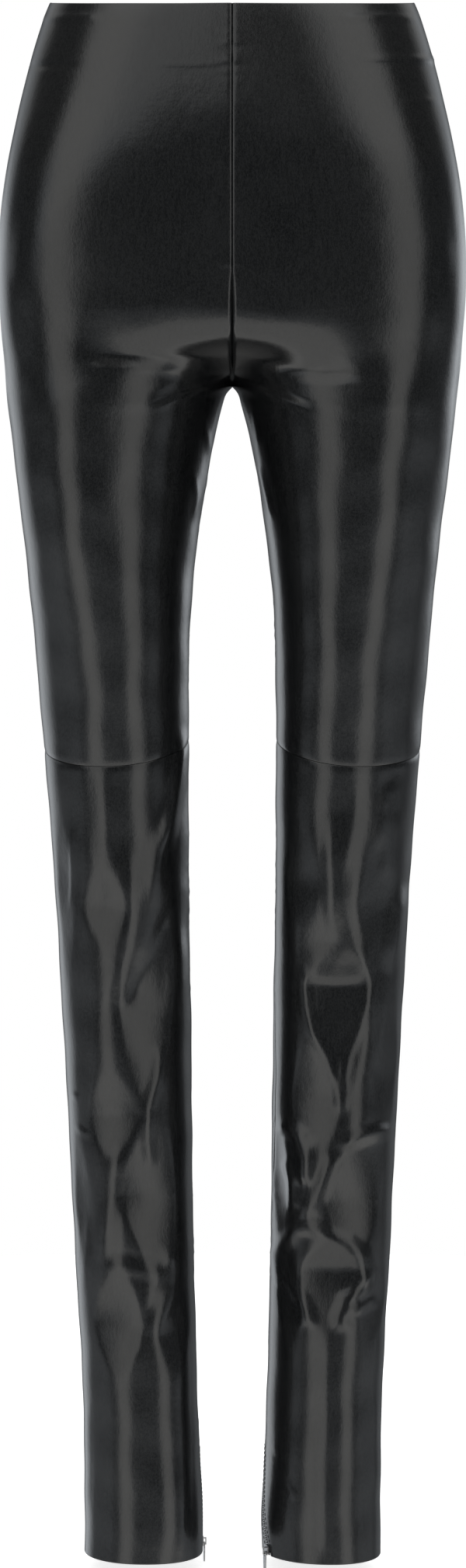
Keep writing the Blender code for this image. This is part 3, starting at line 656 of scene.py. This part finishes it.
def leather(leg):
    """The creased surface of one half, as a function of around and level."""
    def smooth(around, level):
        return form(leg, around, level)

    def folded(around, level):
        point = smooth(around, level)
        push = relief(leg, *point) + creases(leg, *point) + undulation(leg, *point) + waist_push(level)
        return [p + push * n for p, n in zip(point, outward(smooth, around, level))]

    return folded


def mirrored(leg, points):
    """Points of a half in their real place."""
    x, y, z = points
    return np.stack([SIDE[leg] * x, y, z], axis=-1)


def ring_length(level):
    """About how long the leather is round a half at a level."""
    return math.pi * (read(LEG_ROWS, 1, level) - read(INSEAM_ROWS, 1, np.minimum(level, CROTCH)))


def spread(count):
    """Places across a panel, crowded at both edges: share of the way, and the distance added to it."""
    places = [(0.0, step) for step in EDGE_STEPS]
    for i in range(1, count):
        share = i / count
        places.append((share, (1 - 2 * share) * EDGE_STEPS[-1]))
    return places + [(1.0, -step) for step in reversed(EDGE_STEPS)]


def sink(away):
    """How deep the leather is drawn in beside a seam."""
    return SEAM_SINK * np.exp(-((away / SEAM_REACH) ** 2))


def centre_groove(level, away):
    """Groove of the centre seams, deeper just above the crotch."""
    deep = ease((CROTCH_GROOVE_TOP - level) / CROTCH_GROOVE_FADE) * ease((level - CROTCH + CLOSING) / CLOSING)
    groove = GROOVE_DEPTH * np.exp(-((away / GROOVE_REACH) ** 2)) * (level > CROTCH)
    return groove + CROTCH_GROOVE_DEPTH * deep * np.exp(-((away / CROTCH_GROOVE_REACH) ** 2))


def waves(run, table):
    """Sum of the waves of a table along a run."""
    return sum(np.sin(run / length + start) for length, start in table)


def puckers(face, level, from_front_edge):
    """Small ripples beside the seam, in patches."""
    run = PUCKER_STARTS[face] + level
    patchy = np.clip(waves(run, PATCH_WAVES), 0, 2)
    height = PUCKER_HEIGHT * waves(run, PUCKER_WAVES) * patchy
    height = height * np.exp(-((from_front_edge / PUCKER_REACH) ** 2))
    return height * ease(from_front_edge / PUCKER_FREE)


def panel_points(leg, face, top, foot, columns, rows):
    """Outer and inner points of a panel, and the distance of each from its front edge and from its top."""
    share_down, step_down = np.array(spread(rows)).T[:, :, None]
    share_over, step_over = np.array(spread(columns)).T[:, None, :]
    level = top - share_down * (top - foot) - step_down
    ring = ring_length(level)
    over_zip = ease((ZIP_TOP - level) / ZIP_END)
    first = over_zip * ZIP_WINDOW
    width = 0.5 * ring - first
    distance = share_over * width + step_over
    around = (first + distance) / ring
    level = level + 0 * distance
    if face == "back":
        around = 1 - around
    from_front_edge = distance
    from_side = width - distance
    from_top = top - level
    from_foot = level - foot
    nearest = np.minimum(np.minimum(from_front_edge, from_side), np.minimum(from_top, from_foot))
    rounding = EDGE_ROUND - np.sqrt(EDGE_ROUND**2 - np.clip(EDGE_ROUND - nearest, 0, EDGE_ROUND) ** 2)

    sunk = (sink(from_front_edge) + centre_groove(level, from_front_edge)) * (1 - over_zip) + sink(from_side)
    sunk = np.maximum(sunk, sink(from_foot) if foot > HEM else 0 * level)
    sunk = np.maximum(sunk, sink(from_top) if top < 0 else 0 * level)
    pucker = puckers(face, level, from_front_edge)
    surface = leather(leg)
    smooth_normal = outward(lambda a, l: form(leg, a, l), around, level)
    point = surface(around, level)
    grids = []
    for out in (pucker - sunk - rounding, pucker - sunk - WALL):
        moved = [p + out * n for p, n in zip(point, smooth_normal)]
        astray = moved[0][:, :1] * ease((level[:, :1] - CROTCH_LEVEL + CLOSING) / CLOSING)
        moved[0] = np.maximum(moved[0] - astray * np.exp(-distance / SEAM_REACH), 0)
        grids.append(mirrored(leg, moved))
    return grids[0], grids[1], distance, from_top


def finished(mesh, name, surface):
    """A new piece of the garment at the origin that carries the mesh."""
    mesh.materials.append(surface)
    mesh.shade_smooth()
    mesh.set_sharp_from_angle(angle=math.radians(SHARP_ANGLE))
    made = bpy.data.objects.new(name, mesh)
    bpy.context.scene.collection.objects.link(made)
    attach(made, "garment")
    return made


def turn_outward(mesh):
    """Turns the faces of a closed mesh outward."""
    work = bmesh.new()
    work.from_mesh(mesh)
    bmesh.ops.recalc_face_normals(work, faces=work.faces)
    work.to_mesh(mesh)
    work.free()


def wall_mesh(name, outer, inner, across, down):
    """A closed wall: a fine outer grid, an inner grid four times as coarse, and the edge between them."""
    rows, columns = outer.shape[:2]
    inner = inner[::COARSER, ::COARSER]
    inner_rows, inner_columns = inner.shape[:2]
    points = np.concatenate([outer.reshape(-1, 3), inner.reshape(-1, 3)])
    outer_at = np.arange(rows * columns).reshape(rows, columns)
    inner_at = rows * columns + np.arange(inner_rows * inner_columns).reshape(inner_rows, inner_columns)

    def quads(at):
        return np.stack([at[:-1, :-1], at[:-1, 1:], at[1:, 1:], at[1:, :-1]], axis=-1).reshape(-1, 4).tolist()

    def border(at):
        return np.concatenate([at[0, :-1], at[:-1, -1], at[-1, :0:-1], at[:0:-1, 0]]).tolist()

    faces = quads(outer_at) + quads(inner_at)
    outside, inside = border(outer_at), border(inner_at)
    outside.append(outside[0])
    inside.append(inside[0])
    for i in range(len(inside) - 1):
        faces.append(outside[COARSER * i : COARSER * i + COARSER + 1] + [inside[i + 1], inside[i]])
    mesh = bpy.data.meshes.new(name)
    mesh.from_pydata(points.tolist(), [], faces)
    turn_outward(mesh)
    lining = mesh.attributes.new("inside", "FLOAT", "POINT")
    lining.data.foreach_set("value", np.repeat([0.0, 1.0], [rows * columns, inner_rows * inner_columns]))
    flat = np.stack([across, down], axis=-1)
    flat = np.concatenate([flat.reshape(-1, 2), flat[::COARSER, ::COARSER].reshape(-1, 2)])
    corner = np.empty(len(mesh.loops), np.int32)
    mesh.loops.foreach_get("vertex_index", corner)
    mesh.uv_layers.new(name="cut").data.foreach_set("uv", flat[corner].astype(np.float32).ravel())
    return mesh


def add_panel(leg, face, height, surface):
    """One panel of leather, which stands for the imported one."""
    node = f"{face}_{height}_{leg}"
    top, foot = (0.0, KNEE) if height == "upper" else (KNEE, HEM)
    outer, inner, across, from_top = panel_points(leg, face, top, foot, *GRID[face, height])
    mesh = wall_mesh(node, outer, inner, across, from_top)
    made = finished(mesh, f"leather_{node}", surface)
    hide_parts(node)


class Value:
    """A number in a node tree. Arithmetic on it adds the Math nodes."""

    def __init__(self, desk, socket):
        self.desk = desk
        self.socket = socket

    def __add__(self, other):
        return self.desk.maths("ADD", self, other)

    def __sub__(self, other):
        return self.desk.maths("SUBTRACT", self, other)

    def __rsub__(self, other):
        return self.desk.maths("SUBTRACT", other, self)

    def __mul__(self, other):
        return self.desk.maths("MULTIPLY", self, other)

    def __neg__(self):
        return self.desk.maths("MULTIPLY", self, -1.0)

    __radd__ = __add__
    __rmul__ = __mul__


class Desk:
    """Lays out the nodes of one tree."""

    def __init__(self, tree):
        self.tree = tree
        tree.nodes.clear()

    def node(self, kind, settings=None, links=None):
        """A node of a kind, with its settings made first and its sockets given values or links."""
        made = self.tree.nodes.new(kind)
        for name, value in (settings or {}).items():
            setattr(made, name, value)
        for name, value in (links or {}).items():
            self.feed(made.inputs[name], value)
        return made

    def out(self, kind, settings=None, links=None):
        """The first output of a new node."""
        return self.node(kind, settings, links).outputs[0]

    def feed(self, socket, value):
        """Gives a socket a number, a colour, a link or a Value."""
        value = value.socket if isinstance(value, Value) else value
        if isinstance(value, bpy.types.NodeSocket):
            self.tree.links.new(value, socket)
        else:
            socket.default_value = value

    def value(self, kind, out, settings=None, links=None):
        return Value(self, self.node(kind, settings, links).outputs[out])

    def maths(self, operation, *terms):
        return self.value("ShaderNodeMath", 0, {"operation": operation}, dict(enumerate(terms)))

    def step(self, value, low, high):
        """0 below low, 1 above high and a smooth step between."""
        links = {"Value": value, "From Min": low, "From Max": high}
        return self.value("ShaderNodeMapRange", 0, {"interpolation_type": "SMOOTHSTEP"}, links)

    def blend(self, share, one, two):
        """Colour between two colours."""
        made = self.node("ShaderNodeMix", {"data_type": "RGBA"}, {0: share, 6: one, 7: two})
        return made.outputs[2]

    def place(self, scale=(1.0, 1.0, 1.0)):
        """Object coordinates, stretched."""
        spot = self.node("ShaderNodeTexCoord").outputs["Object"]
        return self.out("ShaderNodeMapping", {}, {"Vector": spot, "Scale": scale})

    def noise(self, vector, scale, detail=2.0, roughness=0.5):
        links = {"Vector": vector, "Scale": scale, "Detail": detail, "Roughness": roughness}
        return self.value("ShaderNodeTexNoise", "Fac", {}, links)

    def cells(self, vector, scale, smoothness):
        """Soft pebbles."""
        links = {"Vector": vector, "Scale": scale, "Smoothness": smoothness}
        return self.value("ShaderNodeTexVoronoi", "Distance", {"feature": "SMOOTH_F1"}, links)

    def bump(self, height, distance, under=None):
        """Normal of a rough surface, over another one's if that is given."""
        links = {"Height": height, "Distance": distance, "Strength": 1.0}
        if under is not None:
            links["Normal"] = under
        return self.out("ShaderNodeBump", {}, links)


def new_material(name):
    """An empty material and the desk that lays out its nodes."""
    made = bpy.data.materials.new(name)
    made.use_nodes = True
    return made, Desk(made.node_tree)


def close_material(desk, sockets):
    """Ends a material with one shader, whose sockets are given."""
    shader = desk.out("ShaderNodeBsdfPrincipled", {}, sockets)
    desk.node("ShaderNodeOutputMaterial", {}, {"Surface": shader})


def glossy_leather():
    """Thin black leather with a waxed shine, a fine grain drawn out down the leg, and a matt flesh side."""
    made, desk = new_material("glossy black leather")
    dyed, worn, flesh = (0.0014, 0.0017, 0.0020, 1), (0.0098, 0.0103, 0.0107, 1), (0.020, 0.019, 0.018, 1)
    flesh_roughness = 0.85
    place = desk.place((1.0, 1.0, 0.45))
    whole = desk.place()
    inside = desk.value("ShaderNodeAttribute", "Fac", {"attribute_name": "inside"})
    pebbles = desk.cells(place, 1150.0, smoothness=0.4)
    hairs = desk.noise(place, 2300.0, detail=3.0, roughness=0.6)
    strokes = desk.noise(desk.place((1.0, 1.0, 0.16)), 620.0)
    ripples = desk.noise(whole, 130.0)
    clouds = desk.noise(whole, 22.0)
    grain = pebbles * 0.55 + hairs * 0.25 + strokes * 0.45
    rough = 0.13 + 0.07 * clouds + 0.07 * grain
    rough = rough * (1 - inside) + flesh_roughness * inside
    wear = desk.step(grain + 0.25 * clouds, 0.40, 0.95)
    colour = desk.blend(inside, desk.blend(wear, dyed, worn), flesh)
    cockles = desk.noise(desk.place((1.0, 1.0, 0.5)), 520.0)
    rippled = desk.bump(ripples, distance=0.00009)
    cockled = desk.bump(cockles, distance=0.00004, under=rippled)
    normal = desk.bump(grain, distance=0.000034, under=cockled)
    close_material(desk, {
        "Base Color": colour, "Roughness": rough, "IOR": 1.56, "Normal": normal,
    })
    return made


def woven_tape():
    """Black polyester zip tape in a fine herringbone."""
    made, desk = new_material("black woven tape")
    black, grey = (0.006, 0.006, 0.007, 1), (0.017, 0.017, 0.018, 1)
    # Width of a stripe of the herringbone, and radians for each metre down the ribs and across the threads
    stripe, rib_rate, thread_rate = 0.0011, 9000.0, 14000.0
    spot = desk.out("ShaderNodeUVMap", {"uv_map": "cut"})
    parts = desk.node("ShaderNodeSeparateXYZ", {}, {0: spot})
    across, down = (Value(desk, parts.outputs[i]) for i in (0, 1))
    slant = desk.maths("PINGPONG", across, stripe)
    ribs = desk.maths("SINE", (down + slant) * rib_rate)
    threads = desk.maths("SINE", across * thread_rate)
    weave = 0.5 + 0.35 * ribs + 0.15 * threads
    fuzz = desk.noise(desk.place(), 4200.0)
    close_material(desk, {
        "Base Color": desk.blend(weave, black, grey), "Roughness": 0.72 + 0.2 * fuzz, "IOR": 1.45,
        "Normal": desk.bump(weave, distance=0.00008, under=desk.bump(fuzz, distance=0.00003)),
    })
    return made


def plated_metal():
    """Dark nickel plating with fine wear."""
    made, desk = new_material("dark nickel plating")
    dark, bright = (0.30, 0.30, 0.31, 1), (0.46, 0.455, 0.45, 1)
    wear = desk.noise(desk.place(), 900.0, detail=4.0, roughness=0.6)
    lines = desk.noise(desk.place((0.08, 1.0, 1.0)), 5200.0)
    close_material(desk, {
        "Base Color": desk.blend(desk.step(wear, 0.35, 0.7), dark, bright), "Metallic": 1.0,
        "Roughness": 0.20 + 0.18 * wear, "Normal": desk.bump(lines, distance=0.000012),
    })
    return made


def sewing_thread():
    """Black waxed thread with its twist."""
    made, desk = new_material("black thread")
    black, grey = (0.008, 0.008, 0.009, 1), (0.022, 0.022, 0.023, 1)
    twist = desk.noise(desk.place(), 6000.0)
    close_material(desk, {
        "Base Color": desk.blend(twist, black, grey), "Roughness": 0.45 + 0.2 * twist,
        "Normal": desk.bump(twist, distance=0.00004),
    })
    return made


def beside_inseam(leg, level, turn, out):
    """Points beside the inseam over the zip; turn is the distance towards the front along the leather."""
    share = np.maximum(np.abs(turn), ZIP_WINDOW) / ring_length(level)
    surface = leather(leg)
    sides = []
    for around in (share, 1 - share):
        point = surface(around, level)
        normal = outward(lambda a, l: form(leg, a, l), around, level)
        sides.append(mirrored(leg, [p + out * n for p, n in zip(point, normal)]))
    mix = (0.5 + 0.5 * np.clip(turn / ZIP_WINDOW, -1, 1))[..., None]
    return sides[0] * mix + sides[1] * (1 - mix)


def add_tape(leg, surface):
    """Tape behind the panels' edges."""
    down = np.linspace(ZIP_TOP - ZIP_END, ZIP_FOOT, TAPE_ROWS)
    across = np.linspace(-TAPE_HALF_WIDTH, TAPE_HALF_WIDTH, TAPE_COLUMNS)
    level, turn = np.meshgrid(down, across, indexing="ij")
    face = beside_inseam(leg, level, turn, -TAPE_DEPTH)
    back = beside_inseam(leg, level, turn, -TAPE_DEPTH - TAPE_THICKNESS)
    mesh = wall_mesh(f"tape_{leg}", face, back, turn, level)
    made = finished(mesh, f"zip_tape_{leg}", surface)
    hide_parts(f"zip_{leg}")


def line_mesh(name, lines):
    """Edges along each line of (point, outward normal), with the normals kept as an attribute."""
    points = [point for line in lines for point, _ in line]
    normals = [normal for line in lines for _, normal in line]
    edges = []
    start = 0
    for line in lines:
        edges += [(start + i, start + i + 1) for i in range(len(line) - 1)]
        start += len(line)
    mesh = bpy.data.meshes.new(name)
    mesh.from_pydata([tuple(p) for p in points], edges, [])
    kept = mesh.attributes.new("out", "FLOAT_VECTOR", "POINT")
    kept.data.foreach_set("vector", np.array(normals, np.float32).ravel())
    return mesh


def repeating_tree(name, shape):
    """Geometry Nodes that set one shape along every line, its X along the line and its Z outward."""
    tree = bpy.data.node_groups.new(name, "GeometryNodeTree")
    face = tree.interface
    face.new_socket("Line", in_out="INPUT", socket_type="NodeSocketGeometry")
    sockets = {}
    for label, kind in (("Pitch", "Float"), ("Size", "Vector"), ("Surface", "Material")):
        socket = face.new_socket(label, in_out="INPUT", socket_type=f"NodeSocket{kind}")
        sockets[label] = socket.identifier
    face.new_socket("Result", in_out="OUTPUT", socket_type="NodeSocketGeometry")
    desk = Desk(tree)
    given = desk.node("NodeGroupInput").outputs
    curve = desk.out("GeometryNodeMeshToCurve", {}, {"Mesh": given["Line"]})
    lengths = {"Curve": curve, "Length": given["Pitch"]}
    spaced = desk.out("GeometryNodeResampleCurve", {"mode": "LENGTH"}, lengths)
    if shape == "stitch":
        single = desk.out("GeometryNodeMeshUVSphere", {}, {"Segments": 6, "Rings": 5, "Radius": 0.5})
    else:
        corners = {"Size": (1.0, 1.0, 1.0), "Vertices X": 2, "Vertices Y": 3, "Vertices Z": 2}
        single = desk.out("GeometryNodeMeshCube", {}, corners)
    kept = {"data_type": "FLOAT_VECTOR"}
    out = desk.out("GeometryNodeInputNamedAttribute", kept, {"Name": "out"})
    upright = desk.out("FunctionNodeAlignRotationToVector", {"axis": "Z"}, {"Vector": out})
    along = desk.out("GeometryNodeInputTangent")
    about = {"axis": "X", "pivot_axis": "Z"}
    turned = desk.out("FunctionNodeAlignRotationToVector", about, {"Rotation": upright, "Vector": along})
    copies = desk.out("GeometryNodeInstanceOnPoints", {}, {
        "Points": spaced, "Instance": single, "Rotation": turned, "Scale": given["Size"],
    })
    real = desk.out("GeometryNodeRealizeInstances", {}, {"Geometry": copies})
    dressed = desk.out("GeometryNodeSetMaterial", {}, {"Geometry": real, "Material": given["Surface"]})
    desk.node("NodeGroupOutput", {}, {0: dressed})
    return tree, sockets


def set_along(name, lines, tree_and_sockets, pitch, size, surface):
    """A piece made of one shape repeated along lines, as a plain mesh."""
    tree, sockets = tree_and_sockets
    guide = bpy.data.objects.new(f"{name}_line", line_mesh(name, lines))
    bpy.context.scene.collection.objects.link(guide)
    rule = guide.modifiers.new("repeat", "NODES")
    rule.node_group = tree
    rule[sockets["Pitch"]] = pitch
    rule[sockets["Size"]] = size
    rule[sockets["Surface"]] = surface
    evaluated = guide.evaluated_get(bpy.context.evaluated_depsgraph_get())
    mesh = bpy.data.meshes.new_from_object(evaluated)
    guide.modifiers.clear()
    bpy.data.objects.remove(guide)
    mesh.materials.clear()
    finished(mesh, name, surface)


def inseam_line(leg, spots, out):
    """(point, normal) at each (level, turn)."""
    level = np.array([spot[0] for spot in spots])
    turn = np.array([spot[1] for spot in spots])
    here = beside_inseam(leg, level, turn, out)
    away = beside_inseam(leg, level, turn, out + NORMAL_PROBE) - here
    return list(zip(here, away / np.linalg.norm(away, axis=-1, keepdims=True)))


def add_chain(leg, tree, surface):
    """The closed chain: teeth from both sides, each between two of the other side."""
    lines = []
    for side, start in ((1, 0.0), (-1, TOOTH_PITCH / 2)):
        top = ZIP_TOP - ZIP_END - CHAIN_DROP - start
        levels = np.linspace(top, ZIP_FOOT + CHAIN_RISE, CHAIN_POINTS)
        lines.append(inseam_line(leg, [(level, side * TOOTH_ASIDE) for level in levels], TOOTH_OUT))
    set_along(f"zip_chain_{leg}", lines, tree, TOOTH_PITCH, TOOTH_SIZE, surface)


def add_zip_stitches(leg, tree, surface):
    """One row of stitches up one side of the zip, over its top and down the other."""
    aside = STITCH_ASIDE
    top = ZIP_TOP + STITCH_OVER
    foot = HEM + STITCH_RISE
    spots = [(level, -aside) for level in np.linspace(foot, top, STITCH_POINTS)]
    spots += [(top, turn) for turn in np.linspace(-aside, aside, STITCH_TURN_POINTS)[1:-1]]
    spots += [(level, aside) for level in np.linspace(top, foot, STITCH_POINTS)]
    line = inseam_line(leg, spots, STITCH_OUT)
    set_along(f"zip_stitches_{leg}", [line], tree, STITCH_PITCH, STITCH_SIZE, surface)


def light_on(desk, turn, tilt):
    """Strength of the light from a bearing and a height, and how warm it is."""
    off = desk.maths("ABSOLUTE", turn)
    low = -tilt

    def rise(value, edge):
        return desk.step(value, *edge)

    def fall(value, edge):
        return 1 - rise(value, edge)

    spread = desk.maths("MAXIMUM", tilt - STRIP_SPREADS_ABOVE, 0) * STRIP_SPREAD
    strip = rise(off, STRIP_INNER) * fall(off - spread, STRIP_OUTER)
    strip = strip * rise(tilt, STRIP_FOOT) * fall(tilt, STRIP_TOP)
    ahead = fall(off, AHEAD_END)
    light = BASE + STRIP * strip
    behind = FLOOR_GLOW_BEHIND + (1 - FLOOR_GLOW_BEHIND) * ahead
    light = light + FLOOR_GLOW * rise(low, FLOOR_GLOW_DEPTH) * behind
    light = light + LOW_FILL * rise(low, LOW_FILL_DEPTH) * ahead * (1 - strip)
    high_left = rise(tilt - HIGH_FILL_LEAN * turn, HIGH_LEFT_FOOT)
    high_left = high_left * rise(-turn, HIGH_LEFT_INNER) * fall(-turn, HIGH_OUTER)
    high_right = rise(tilt, HIGH_RIGHT_FOOT) * rise(turn, HIGH_RIGHT_INNER)
    high_right = high_right * fall(turn, HIGH_OUTER)
    light = light + HIGH_FILL * (high_left + high_right) * (1 - SPARED_BY_STRIP * strip)
    light = light + OVERHEAD * rise(tilt, OVERHEAD_FOOT)
    beside = rise(off, BESIDE_INNER)
    beside = beside * rise(tilt, BESIDE_FOOT) * fall(tilt, BESIDE_TOP)
    flank = (FLANK + FLANK_LOW * rise(low, FLANK_DEPTH)) * rise(off, FLANK_INNER)
    light = light + flank * fall(off, FLANK_OUTER)
    rear = rise(off, REAR_INNER) * fall(off, REAR_OUTER) * fall(tilt, REAR_TOP)
    rear = rear * rise(tilt, REAR_FOOT) * (1 - REAR_DIMMED * rise(tilt, REAR_DIMMING))
    rear_left = REAR_LEFT * rise(-turn, MIDDLE)
    rear_right = (REAR_RIGHT + REAR_RIGHT_UP * rise(tilt, REAR_RIGHT_STEP)) * rise(turn, MIDDLE)
    light = light + BESIDE * beside * (1 - rear) + rear * (rear_left + rear_right)
    warm = desk.maths("MAXIMUM", strip, rise(low, WARM_DEPTH))
    warm = desk.maths("MAXIMUM", warm, WARM_HIGH * rise(tilt, WARM_HEIGHT))
    return light, warm


def studio_light():
    """Tall soft lights both sides of the camera, low and high fill, and strong light from both rear sides."""
    world = bpy.data.worlds.new("plain studio")
    world.use_nodes = True
    bpy.context.scene.world = world
    desk = Desk(world.node_tree)
    ray = desk.node("ShaderNodeTexCoord").outputs["Generated"]
    parts = desk.node("ShaderNodeSeparateXYZ", {}, {0: ray})
    east, north, up = (Value(desk, parts.outputs[i]) for i in range(3))
    turn = desk.maths("ARCTAN2", east, -north) * DEGREES
    tilt = desk.maths("ARCSINE", up) * DEGREES
    light, warm = light_on(desk, turn, tilt)
    tint = desk.blend(warm, COOL_LIGHT, WARM_LIGHT)
    lit = desk.out("ShaderNodeBackground", {}, {"Color": tint, "Strength": light})
    seen = desk.out("ShaderNodeBackground", {}, {"Color": (1, 1, 1, 1), "Strength": 1.0})
    camera_ray = desk.node("ShaderNodeLightPath").outputs["Is Camera Ray"]
    shader = desk.out("ShaderNodeMixShader", {}, {0: camera_ray, 1: lit, 2: seen})
    desk.node("ShaderNodeOutputWorld", {}, {"Surface": shader})


def pale_floor():
    """A plain pale floor just under the pulls."""
    mesh = bpy.data.meshes.new("floor")
    work = bmesh.new()
    bmesh.ops.create_circle(work, cap_ends=True, segments=96, radius=FLOOR_RADIUS)
    bmesh.ops.translate(work, verts=work.verts, vec=(0, 0, FLOOR_LEVEL))
    work.to_mesh(mesh)
    work.free()
    pale, desk = new_material("pale floor")
    close_material(desk, {
        "Base Color": (0.9, 0.9, 0.9, 1), "Roughness": 0.9,
        "Emission Color": (1, 1, 1, 1), "Emission Strength": 0.78,
    })
    mesh.materials.append(pale)
    floor = bpy.data.objects.new("floor", mesh)
    bpy.context.scene.collection.objects.link(floor)
    floor.visible_glossy = False


def set_camera():
    """The photograph's camera. It looks down a little, and a small shift frames the rest."""
    camera = bpy.data.cameras.new("camera")
    camera.lens = CAMERA_LENS
    camera.sensor_width = SENSOR
    camera.shift_y = CAMERA_SHIFT
    holder = bpy.data.objects.new("camera", camera)
    bpy.context.scene.collection.objects.link(holder)
    holder.location = (CAMERA_ASIDE, -CAMERA_AWAY, CAMERA_HEIGHT)
    aim = Vector((CAMERA_ASIDE, 0, CAMERA_AIM)) - holder.location
    holder.rotation_euler = aim.to_track_quat("-Z", "Y").to_euler()
    bpy.context.scene.camera = holder


def main():
    """Dresses the frame, lights it and sets the camera."""
    bpy.context.scene.view_settings.view_transform = "Standard"
    leather_black = glossy_leather()
    tape_black = woven_tape()
    metal = plated_metal()
    thread = sewing_thread()
    stitch = repeating_tree("stitch run", "stitch")
    tooth = repeating_tree("zip chain", "tooth")
    for leg in ("left", "right"):
        for face, height in GRID:
            add_panel(leg, face, height, leather_black)
        add_tape(leg, tape_black)
        add_chain(leg, tooth, metal)
        add_zip_stitches(leg, stitch, thread)
        for name in (f"slider_{leg}", f"pull_{leg}"):
            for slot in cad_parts[name].material_slots:
                slot.material = metal
    studio_light()
    pale_floor()
    set_camera()


main()
